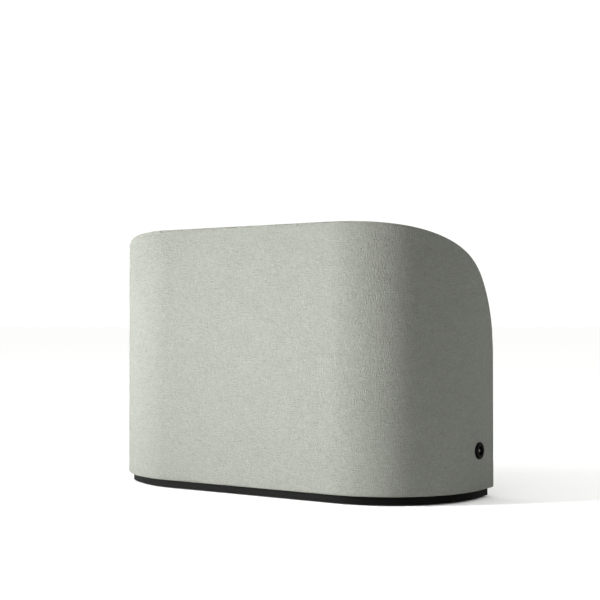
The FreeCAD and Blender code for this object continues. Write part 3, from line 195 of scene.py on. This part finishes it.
# ---------------------------------------------------------------- openings and hems of the cloth
STRIP_Y = -24 * MM          # the control strip's middle, on the sloping top
STRIP_LENGTH = 84 * MM
STRIP_WIDTH = 17 * MM
OPENING_GAP = 0.15 * MM
FOLD_R = 0.25 * MM          # how tightly the cloth folds in at an opening
FOLD_DEPTH = 0.9 * MM
JACK_LOW, JACK_HIGH = (Vector(corner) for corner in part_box("jack_bezel"))
JACK_Y = (JACK_LOW.y + JACK_HIGH.y) / 2
JACK_Z = (JACK_LOW.z + JACK_HIGH.z) / 2
JACK_R = 5 * MM             # of the cloth's opening round the inlet
PUNCH_REACH = 0.55 * STEP   # mesh points this near an outline move onto it
PUNCH_FACING = 0.7          # but only where the surface doesn't face along that move

STRIP_Z, STRIP_SINE, STRIP_COSINE = top_at(STRIP_Y, 0)
STRIP_FRAME = Matrix(((1, 0, 0, 0), (0, STRIP_COSINE, STRIP_SINE, STRIP_Y),
                      (0, -STRIP_SINE, STRIP_COSINE, STRIP_Z), (0, 0, 0, 1)))


def strip_distance(point):
    """Signed distance outside the strip's opening, and the way straight out of it."""
    local = STRIP_FRAME.inverted() @ point
    if abs(local.z) > STRIP_WIDTH / 2:
        return 1, Vector((0, 0, 1))
    straight = (STRIP_LENGTH - STRIP_WIDTH) / 2
    core = Vector((max(-straight, min(straight, local.x)), 0, 0))
    away = Vector((local.x, local.y, 0)) - core
    way = STRIP_FRAME.to_3x3() @ away.normalized()
    return away.length - STRIP_WIDTH / 2 - OPENING_GAP - FOLD_R, way


def jack_distance(point):
    """The same for the round opening of the power inlet, on the right wall only."""
    away = Vector((0, point.y - JACK_Y, point.z - JACK_Z))
    if point.x < 0:
        return 1, away
    return away.length - JACK_R - FOLD_R, away.normalized()


def on_strip_surface(point):
    point.z = top_at(point.y, 0)[0]


def on_side_surface(point):
    beside = max(CORNER_Y - point.y, 0)
    point.x = CORNER_X + math.sqrt(CORNER_R ** 2 - beside ** 2)


def punch(mesh, distance, settle):
    """Opens a hole where distance is negative, with its edge exactly on the outline."""
    found = {}
    for vert in mesh.verts:
        away, way = distance(vert.co)
        if abs(away) < PUNCH_REACH and abs(vert.normal.dot(way)) < PUNCH_FACING:
            vert.co -= way * away
            settle(vert.co)
            away = 0
        found[vert] = away
    for face in list(mesh.faces):
        signs = [found[v] for v in face.verts]
        if min(signs) < 0 < max(signs):
            ends = [v for v in face.verts if found[v] == 0]
            if len(ends) == 2:
                bmesh.utils.face_split(face, *ends)
    inside = [f for f in mesh.faces if sum(found[v] for v in f.verts) < 0]
    bmesh.ops.delete(mesh, geom=inside, context="FACES")


def fold_in(mesh, weave, edges, radius, depth, steps=4):
    """Folds the cloth in along open edges: round the fold, then straight in by depth."""
    mesh.normal_update()
    off = {}
    for edge in edges:
        face = edge.link_faces[0]
        middle = (edge.verts[0].co + edge.verts[1].co) / 2
        way = (edge.verts[1].co - edge.verts[0].co).cross(face.normal).normalized()
        if way.dot(middle - face.calc_center_median()) < 0:
            way.negate()
        for vert in edge.verts:
            off[vert] = off.get(vert, Vector()) + way
    base = {v: (v.co.copy(), v.normal.copy(), way.normalized(), v.link_loops[0][weave].uv.copy())
            for v, way in off.items()}
    turns = [math.pi / 2 * k / steps for k in range(1, steps + 1)]
    moves = [(radius * math.sin(a), radius * (1 - math.cos(a)), radius * a) for a in turns]
    moves.append((radius, depth, radius * math.pi / 2 + depth - radius))
    rings = [{v: v for v in base}]
    for out, inward, run in moves:
        rings.append({v: mesh.verts.new(co + way * out - normal * inward)
                      for v, (co, normal, way, uv) in base.items()})
    runs = [0] + [run for out, inward, run in moves]
    for edge in edges:
        a, b = edge.verts
        for before, after, run_0, run_1 in zip(rings, rings[1:], runs, runs[1:]):
            face = mesh.faces.new((before[a], before[b], after[b], after[a]))
            corners = (a, run_0), (b, run_0), (b, run_1), (a, run_1)
            for loop, (vert, run) in zip(face.loops, corners):
                loop[weave].uv = base[vert][3] - Vector((0, run))


def make_cover():
    mesh = bmesh.new()
    weave = mesh.loops.layers.uv.new("weave")
    cover_shell(mesh, weave)
    mesh.normal_update()
    punch(mesh, strip_distance, on_strip_surface)
    punch(mesh, jack_distance, on_side_surface)
    open_edges = [e for e in mesh.edges if len(e.link_faces) == 1]
    hem = [e for e in open_edges if max(v.co.z for v in e.verts) < HEM_Z + HEM_R + HEM_SLACK]
    openings = [e for e in open_edges if e not in set(hem)]
    fold_in(mesh, weave, hem, HEM_R, HEM_WIDTH)
    fold_in(mesh, weave, openings, FOLD_R, FOLD_DEPTH)
    bmesh.ops.recalc_face_normals(mesh, faces=mesh.faces)
    return object_from(mesh, "cover_cloth", cloth_material("sage_weave"))


# ---------------------------------------------------------------- marks on the keys, and the wadding
MARK_SIZE, MARK_STROKE = 2.6 * MM, 0.5 * MM
# a mark's rings: share of its outline, and height over the key in millimetres
MARK_RINGS = ((1, -0.05), (1, 0.08), (0.86, 0.13))
WADDING_VOXEL = 2.5 * MM
LUMP_SCALE, FINE_LUMP_SCALE = 70, 190      # lumps to a metre
WADDING_LOSS, LEAST_LOSS = 0.8, 0.2        # mean and least thickness taken away, in millimetres


def outline_bar(width, height):
    x, y = width / 2, height / 2
    return [(-x, -y), (x, -y), (x, y), (-x, y)]


def outline_plus(width, height):
    arm, half = width / 2, height / 2
    return [(-half, -arm), (half, -arm), (half, -half), (arm, -half), (arm, half), (half, half),
            (half, arm), (-half, arm), (-half, half), (-arm, half), (-arm, -half), (-half, -half)]


def outline_arrow(width, height):
    return [(-width / 3, -height / 2), (width * 2 / 3, 0), (-width / 3, height / 2)]


def make_mark(name, node, outline, material):
    """A raised mark moulded on a key: an outline drawn in the plane of the control strip."""
    to_strip = STRIP_FRAME.inverted() @ frame["nodes"][node].matrix_world
    corners = [to_strip @ v.co for v in frame["nodes"][node].data.vertices]
    x, y = ((min(p[i] for p in corners) + max(p[i] for p in corners)) / 2 for i in (0, 1))
    top = max(p.z for p in corners)
    mesh = bmesh.new()
    rings = []
    for share, lift in MARK_RINGS:
        ring = [Vector((x + px * share, y + py * share, top + lift * MM)) for px, py in outline]
        rings.append([mesh.verts.new(STRIP_FRAME @ point) for point in ring])
    for low, high in zip(rings, rings[1:]):
        for i in range(len(low)):
            j = (i + 1) % len(low)
            mesh.faces.new((low[i], low[j], high[j], high[i]))
    mesh.faces.new(rings[-1])
    mesh.faces.new(rings[0][::-1])
    bmesh.ops.recalc_face_normals(mesh, faces=mesh.faces)
    mark = object_from(mesh, name, material)
    mark.data.shade_flat()
    return mark


def make_wadding(material):
    """The damping pads, lumpy where the CAD has plain slabs: they only lose thickness."""
    plain_pads = frame["nodes"]["damping_pads"]
    source = bpy.data.objects.new("wadding_source", plain_pads.data.copy())
    bpy.context.scene.collection.objects.link(source)
    source.matrix_world = plain_pads.matrix_world
    remesh = source.modifiers.new("voxels", "REMESH")
    remesh.mode, remesh.voxel_size = "VOXEL", WADDING_VOXEL
    bpy.context.view_layer.update()
    graph = bpy.context.evaluated_depsgraph_get()
    dense = bpy.data.meshes.new_from_object(source.evaluated_get(graph))
    mesh = bmesh.new()
    mesh.from_mesh(dense)
    mesh.transform(source.matrix_world)
    mesh.normal_update()
    for vert in mesh.verts:
        lump = noise.noise(vert.co * LUMP_SCALE) + 0.5 * noise.noise(vert.co * FINE_LUMP_SCALE)
        vert.co -= vert.normal * max(LEAST_LOSS, WADDING_LOSS + lump) * MM
    bpy.data.objects.remove(source)
    return object_from(mesh, "wadding_pads", material)


def object_from(mesh, name, material):
    """A smooth-shaded object from a bmesh."""
    data = bpy.data.meshes.new(name)
    mesh.to_mesh(data)
    mesh.free()
    data.materials.append(material)
    data.shade_smooth()
    piece = bpy.data.objects.new(name, data)
    bpy.context.scene.collection.objects.link(piece)
    return piece


# ---------------------------------------------------------------- materials

class Shader:
    """A Principled material, with short ways to add and join nodes."""

    def __init__(self, name, color, roughness, metallic=0.0, **fixed):
        self.material = bpy.data.materials.new(name)
        self.material.use_nodes = True
        self.tree = self.material.node_tree
        self.surface = self.tree.nodes["Principled BSDF"]
        self.set(self.surface, **{"Base Color": (*color, 1), "Roughness": roughness,
                                  "Metallic": metallic}, **fixed)
        self.material.diffuse_color = (*color, 1)

    def set(self, node, **values):
        for name, value in values.items():
            node.inputs[name].default_value = value

    def node(self, kind, inputs=(), **settings):
        """A node with its settings, and its inputs given as (name or index, value or socket)."""
        made = self.tree.nodes.new(kind)
        for name, value in settings.items():
            setattr(made, name, value)
        for name, value in inputs:
            if isinstance(value, bpy.types.NodeSocket):
                self.tree.links.new(value, made.inputs[name])
            else:
                made.inputs[name].default_value = value
        return made

    def math(self, operation, first, second=0.0):
        return self.node("ShaderNodeMath", [(0, first), (1, second)], operation=operation).outputs[0]

    def stretch(self, vector, scale, offset=(0, 0, 0)):
        return self.node("ShaderNodeMapping", [("Vector", vector), ("Scale", scale),
                                               ("Location", offset)]).outputs[0]

    def noise(self, vector, scale, detail=2.0, roughness=0.5):
        return self.node("ShaderNodeTexNoise", [("Vector", vector), ("Scale", scale), ("Detail", detail),
                                                ("Roughness", roughness)]).outputs["Fac"]

    def span(self, value, low, high, to_low=0.0, to_high=1.0):
        """The value from low..high carried over to to_low..to_high."""
        return self.node("ShaderNodeMapRange", [("Value", value), (1, low), (2, high), (3, to_low),
                                                (4, to_high)]).outputs[0]

    def add(self, *values):
        """The sum of several values."""
        total = values[0]
        for value in values[1:]:
            total = self.math("ADD", total, value)
        return total

    def mix(self, factor, first, second):
        """Between two values."""
        return self.node("ShaderNodeMix", [(0, factor), (2, first), (3, second)]).outputs[0]

    def vector(self, x, y, z=0.0):
        return self.node("ShaderNodeCombineXYZ", [(0, x), (1, y), (2, z)]).outputs[0]

    def blend(self, factor, first, second):
        """Between two colours."""
        mix = self.node("ShaderNodeMix", data_type="RGBA")
        for index, value in ((0, factor), (6, first), (7, second)):
            if isinstance(value, bpy.types.NodeSocket):
                self.tree.links.new(value, mix.inputs[index])
            else:
                mix.inputs[index].default_value = value if index == 0 else (*value, 1)
        return mix.outputs[2]

    def bump(self, height, strength, depth):
        made = self.node("ShaderNodeBump", [("Height", height), ("Strength", strength),
                                            ("Distance", depth)])
        self.tree.links.new(made.outputs["Normal"], self.surface.inputs["Normal"])

    def color(self, socket):
        self.tree.links.new(socket, self.surface.inputs["Base Color"])

    def roughness(self, socket):
        self.tree.links.new(socket, self.surface.inputs["Roughness"])

    def place(self):
        return self.node("ShaderNodeTexCoord").outputs["Object"]


YARN = 0.62 * MM            # pitch of the weave
SLUB = 0.16                 # how quickly a thread's tone changes, per thread of length
# how far each thing shifts the yarn's tone from dark (0) to light (1), about MIDDLE_TONE
# the gap shift is painted shade between the threads, the ridge shift a painted highlight on their crowns
SLUB_TONE, KNOT_TONE, CLOUD_TONE, PAINTED_GAP_SHADE, PAINTED_CROWN_LIGHT = 0.48, 0.18, 0.03, -0.3, 0.08
MIDDLE_TONE = 0.55
THREAD_STEP = 7.31          # moves each thread to its own place in the noise
LUMP_ACROSS, LUMP_ALONG = 0.85, 0.4        # lumps to a thread, across and along the weave
RIDGE_HEIGHT = 0.03         # height of a thread's ridge in millimetres
SLUB_HEIGHT = 0.35          # height of a thread's thick places in millimetres
CHECK = 0.16                # height of the over-and-under in millimetres
LUMP = 0.55                 # height of the weave's unevenness in millimetres
SAGE_LIGHT = (0.1537, 0.1586, 0.1421)
SAGE_DARK = (0.0902, 0.0945, 0.0818)


def cloth_material(name):
    """A plain weave of slubby two-tone yarn.

    Each thread has its own run of thick pale and thin dark places.
    """
    s = Shader(name, SAGE_LIGHT, 0.92, **{"Specular IOR Level": 0.12, "Sheen Weight": 0.06,
                                          "Sheen Roughness": 0.5})
    uv = s.node("ShaderNodeUVMap", uv_map="weave").outputs[0]
    threads = s.node("ShaderNodeVectorMath", [(0, uv), (1, (1 / YARN, 1 / YARN, 0))],
                     operation="MULTIPLY").outputs[0]
    apart = s.node("ShaderNodeSeparateXYZ", [(0, threads)])
    across, along = apart.outputs[0], apart.outputs[1]
    column, row = s.math("FLOOR", across), s.math("FLOOR", along)
    # each thread is a rounded ridge; the two directions pass over and under each other in turn
    wave_x, wave_y = (s.math("SINE", s.math("MULTIPLY", value, math.pi)) for value in (across, along))
    turn = s.math("MULTIPLY", wave_x, wave_y)
    over = s.span(turn, -0.3, 0.3)
    ridge = s.mix(over, s.math("ABSOLUTE", wave_x), s.math("ABSOLUTE", wave_y))
    # a thread's tone wanders along its length and jumps from one thread to the next
    upright = s.noise(s.vector(s.math("MULTIPLY", column, THREAD_STEP),
                               s.math("MULTIPLY", along, SLUB)), 1, 2, 0.7)
    level = s.noise(s.vector(s.math("MULTIPLY", across, SLUB),
                             s.math("MULTIPLY", row, THREAD_STEP), 40), 1, 2, 0.7)
    slub = s.span(s.mix(over, upright, level), 0.25, 0.75, -1, 1)
    knot = s.span(s.noise(s.vector(column, row), 0.83, 1), 0.35, 0.75, -0.6, 1)
    cloud = s.span(s.noise(uv, 60, 2), 0.3, 0.7, -1, 1)
    # the ridge term paints shade in the gaps between threads and a slight painted highlight on their
    # crowns
    tone = s.add(s.math("MULTIPLY", slub, SLUB_TONE), s.math("MULTIPLY", knot, KNOT_TONE),
                 s.math("MULTIPLY", cloud, CLOUD_TONE), s.span(ridge, 0.0, 0.6, PAINTED_GAP_SHADE, PAINTED_CROWN_LIGHT),
                 MIDDLE_TONE)
    s.color(s.blend(s.math("MINIMUM", s.math("MAXIMUM", tone, 0), 1), SAGE_DARK, SAGE_LIGHT))
    s.roughness(s.span(tone, 0, 1, 0.97, 0.88))
    lump = s.noise(s.vector(s.math("MULTIPLY", across, LUMP_ACROSS),
                            s.math("MULTIPLY", along, LUMP_ALONG), 80), 1, 1)
    s.bump(s.add(s.math("MULTIPLY", ridge, RIDGE_HEIGHT), s.math("MULTIPLY", slub, SLUB_HEIGHT),
                 s.math("MULTIPLY", turn, s.span(knot, -0.2, 0.8, 0, CHECK)),
                 s.math("MULTIPLY", lump, LUMP)), 1.0, 1 * MM)
    return s.material


# the second tone of each kind of material, as a share of its first
LIGHTER, METAL_DARKER, FIBRE_DARKER = 1.5, 0.78, 0.6


def moulded(name, color, roughness, grain=0.02, scale=2500, sheen=0.0, gloss=0.5):
    """Moulded plastic or rubber with a fine spark-eroded grain and a little dust-soft variation."""
    s = Shader(name, color, roughness, **{"Sheen Weight": sheen, "Specular IOR Level": gloss})
    place = s.place()
    fine = s.noise(place, scale, 3)
    wide = s.noise(place, 60, 3)
    lighter = tuple(min(c * LIGHTER, 1) for c in color)
    s.color(s.blend(s.span(wide, 0.3, 0.7), color, lighter))
    s.roughness(s.span(fine, 0.3, 0.7, roughness - 0.07, roughness + 0.07))
    s.bump(fine, 0.5, grain * MM)
    return s.material


def metal(name, color, roughness, brushed=(1, 1, 1)):
    """Metal with a directional grain and faint cloudiness."""
    s = Shader(name, color, roughness, 1.0)
    place = s.place()
    lines = s.noise(s.stretch(place, brushed), 900, 4)
    cloud = s.noise(place, 90, 3)
    darker = tuple(c * METAL_DARKER for c in color)
    s.color(s.blend(s.span(cloud, 0.3, 0.7), darker, color))
    s.roughness(s.span(lines, 0.25, 0.75, roughness - 0.1, roughness + 0.12))
    s.bump(lines, 0.3, 0.01 * MM)
    return s.material


def fibrous(name, color, roughness, scale, depth):
    """Pulp, wadding and impregnated cloth: matted fibres."""
    s = Shader(name, color, roughness, **{"Sheen Weight": 0.3})
    place = s.place()
    fibre = s.noise(place, scale, 6, 0.7)
    darker = tuple(c * FIBRE_DARKER for c in color)
    s.color(s.blend(s.span(fibre, 0.35, 0.65), darker, color))
    s.bump(fibre, 0.8, depth * MM)
    return s.material


def frosted(name):
    """The light guide: milky clear plastic."""
    s = Shader(name, (0.86, 0.89, 0.88), 0.35, **{"Transmission Weight": 0.35, "IOR": 1.49,
                                                  "Subsurface Weight": 0.2})
    haze = s.noise(s.place(), 1200, 3)
    s.roughness(s.span(haze, 0.3, 0.7, 0.28, 0.45))
    return s.material


def circuit(name):
    """Solder mask with a hint of tracks under it."""
    s = Shader(name, (0.02, 0.13, 0.06), 0.35, **{"Coat Weight": 0.4, "Coat Roughness": 0.2})
    place = s.place()
    tracks = s.node("ShaderNodeTexBrick", [("Vector", place), ("Scale", 160.0), ("Mortar Size", 0.012)])
    line = s.span(tracks.outputs["Fac"], 0, 1)
    s.color(s.blend(line, (0.012, 0.10, 0.045), (0.05, 0.24, 0.12)))
    s.bump(line, 0.4, 0.03 * MM)
    return s.material


def paint_nodes():
    """Gives every CAD piece the material of its slot in the record."""
    made = {
        "black_base": moulded("satin_black", (0.0015,0.0015,0.0014), 0.6, 0.012, 3000, gloss=0.03),
        "black_plastic": moulded("black_abs", (0.003, 0.0032, 0.0028), 0.5, 0.02, gloss=0.1),
        "grey_plastic": moulded("grey_abs", (0.064, 0.067, 0.063), 0.6, 0.03),
        "strip_plastic": moulded("sage_abs", (0.133, 0.142, 0.125), 0.55, 0.02),
        "key_plastic": moulded("sage_key", (0.110, 0.119, 0.104), 0.5, 0.018),
        "orange_plastic": moulded("amber_knob", (0.38, 0.125, 0.03), 0.5, 0.02),
        "clear_plastic": frosted("frosted_guide"),
        "rubber": moulded("black_rubber", (0.016, 0.016, 0.016), 0.85, 0.05, 1500, 0.2),
        "foam": fibrous("cell_foam", (0.03, 0.03, 0.032), 0.95, 1600, 0.1),
        "steel": metal("zinc_steel", (0.56, 0.57, 0.58), 0.34, (1, 1, 12)),
        "dark_steel": moulded("stoved_black", (0.02, 0.02, 0.022), 0.45, 0.03, 1800),
        "aluminium": metal("anodised", (0.78, 0.79, 0.80), 0.38, (1, 12, 1)),
        "brass": metal("plated_brass", (0.16, 0.145, 0.11), 0.42, (12, 1, 1)),
        "copper": metal("enamelled_wire", (0.72, 0.34, 0.16), 0.3, (1, 60, 1)),
        "paper": fibrous("pulp", (0.035, 0.035, 0.038), 0.9, 900, 0.12),
        "silk": fibrous("coated_silk", (0.05, 0.05, 0.055), 0.6, 2200, 0.04),
        "spider_cloth": fibrous("resin_cloth", (0.50, 0.38, 0.14), 0.85, 1400, 0.1),
        "wadding": fibrous("white_wadding", (0.80, 0.80, 0.78), 0.98, 500, 0.5),
        "ferrite": moulded("sintered", (0.035, 0.035, 0.038), 0.7, 0.06, 900),
        "board": circuit("solder_mask"),
        "mark": moulded("mark_pale", (0.29, 0.30, 0.27), 0.5, 0.01),
        "lead": moulded("pvc_sheath", (0.02, 0.02, 0.022), 0.45, 0.01, 1200),
    }
    slots = {part["node"]: part["material_slot"] for part in frame["record"]["subparts"]}
    for name, node in frame["nodes"].items():
        if slots[name] in made:
            node.data.materials.clear()
            node.data.materials.append(made[slots[name]])
    return made


# ---------------------------------------------------------------- studio
CAMERA_PLACE = (0.4209, -0.6362, 0.1053)
CAMERA_WAY = (-0.5391, 0.8420, 0.0193)
CAMERA_LENS, SENSOR_WIDTH = 71.64, 36      # millimetres
FLOOR_RADIUS = 40.0
FLOOR_TONE = (0.93, 0.93, 0.93)
ROOM_TONE, ROOM_STRENGTH = (1, 1, 0.98, 1), 1.06
# each light: where it stands, what it points at, its side in metres, its power, its spread
LIGHTS = {
    "key": ((-1.8373, -1.1481, 0.4620), (0, 0, 0.08), 0.6, 32.0, 180),
    "grid": ((-0.8501, -0.8209, 0.2884), (0.12, 0, 0.08), 0.3, 2.0, 26),
    "rim": ((1.6, 0.9, 0.9), (0, 0, 0.1), 0.8, 0.5, 180),
}


def area_light(name, place, aim, size, power, spread):
    """A square soft box, or with a narrow spread in degrees, one with a grid."""
    data = bpy.data.lights.new(name, "AREA")
    data.shape, data.size, data.energy, data.spread = "SQUARE", size, power, math.radians(spread)
    light = bpy.data.objects.new(name, data)
    light.location = place
    light.rotation_euler = (Vector(aim) - Vector(place)).to_track_quat("-Z", "Y").to_euler()
    bpy.context.scene.collection.objects.link(light)


def make_stage():
    """A plain pale floor."""
    mesh = bmesh.new()
    bmesh.ops.create_circle(mesh, cap_ends=True, segments=96, radius=FLOOR_RADIUS)
    s = Shader("pale_floor", FLOOR_TONE, 0.9, **{"Specular IOR Level": 0.0})
    object_from(mesh, "floor", s.material)


def make_lights():
    """An even pale room, and the soft boxes."""
    world = bpy.data.worlds.new("soft_room")
    world.use_nodes = True
    background = world.node_tree.nodes["Background"]
    background.inputs["Color"].default_value = ROOM_TONE
    background.inputs["Strength"].default_value = ROOM_STRENGTH
    bpy.context.scene.world = world
    for name, setting in LIGHTS.items():
        area_light(name, *setting)


# ---------------------------------------------------------------- camera

def make_camera():
    data = bpy.data.cameras.new("camera")
    data.lens, data.sensor_width = CAMERA_LENS, SENSOR_WIDTH
    data.clip_start = 0.01
    camera = bpy.data.objects.new("camera", data)
    camera.location = CAMERA_PLACE
    camera.rotation_euler = Vector(CAMERA_WAY).to_track_quat("-Z", "Y").to_euler()
    bpy.context.scene.collection.objects.link(camera)
    bpy.context.scene.camera = camera
    bpy.context.scene.view_settings.view_transform = "Standard"


# ---------------------------------------------------------------- the scene
materials = paint_nodes()
cover = make_cover()
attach(cover, "cabinet")
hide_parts("fabric_cover")
wadding = make_wadding(materials["wadding"])
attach(wadding, "cabinet")
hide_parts("damping_pads")
for key, outline in (("volume_down", outline_bar(MARK_SIZE, MARK_STROKE)),
                     ("play", outline_arrow(MARK_SIZE, MARK_SIZE)),
                     ("volume_up", outline_plus(MARK_SIZE, MARK_STROKE))):
    mark = make_mark("mark_" + key, "button_" + key, outline, materials["mark"])
    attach(mark, key + "_key")
make_stage()
make_lights()
make_camera()
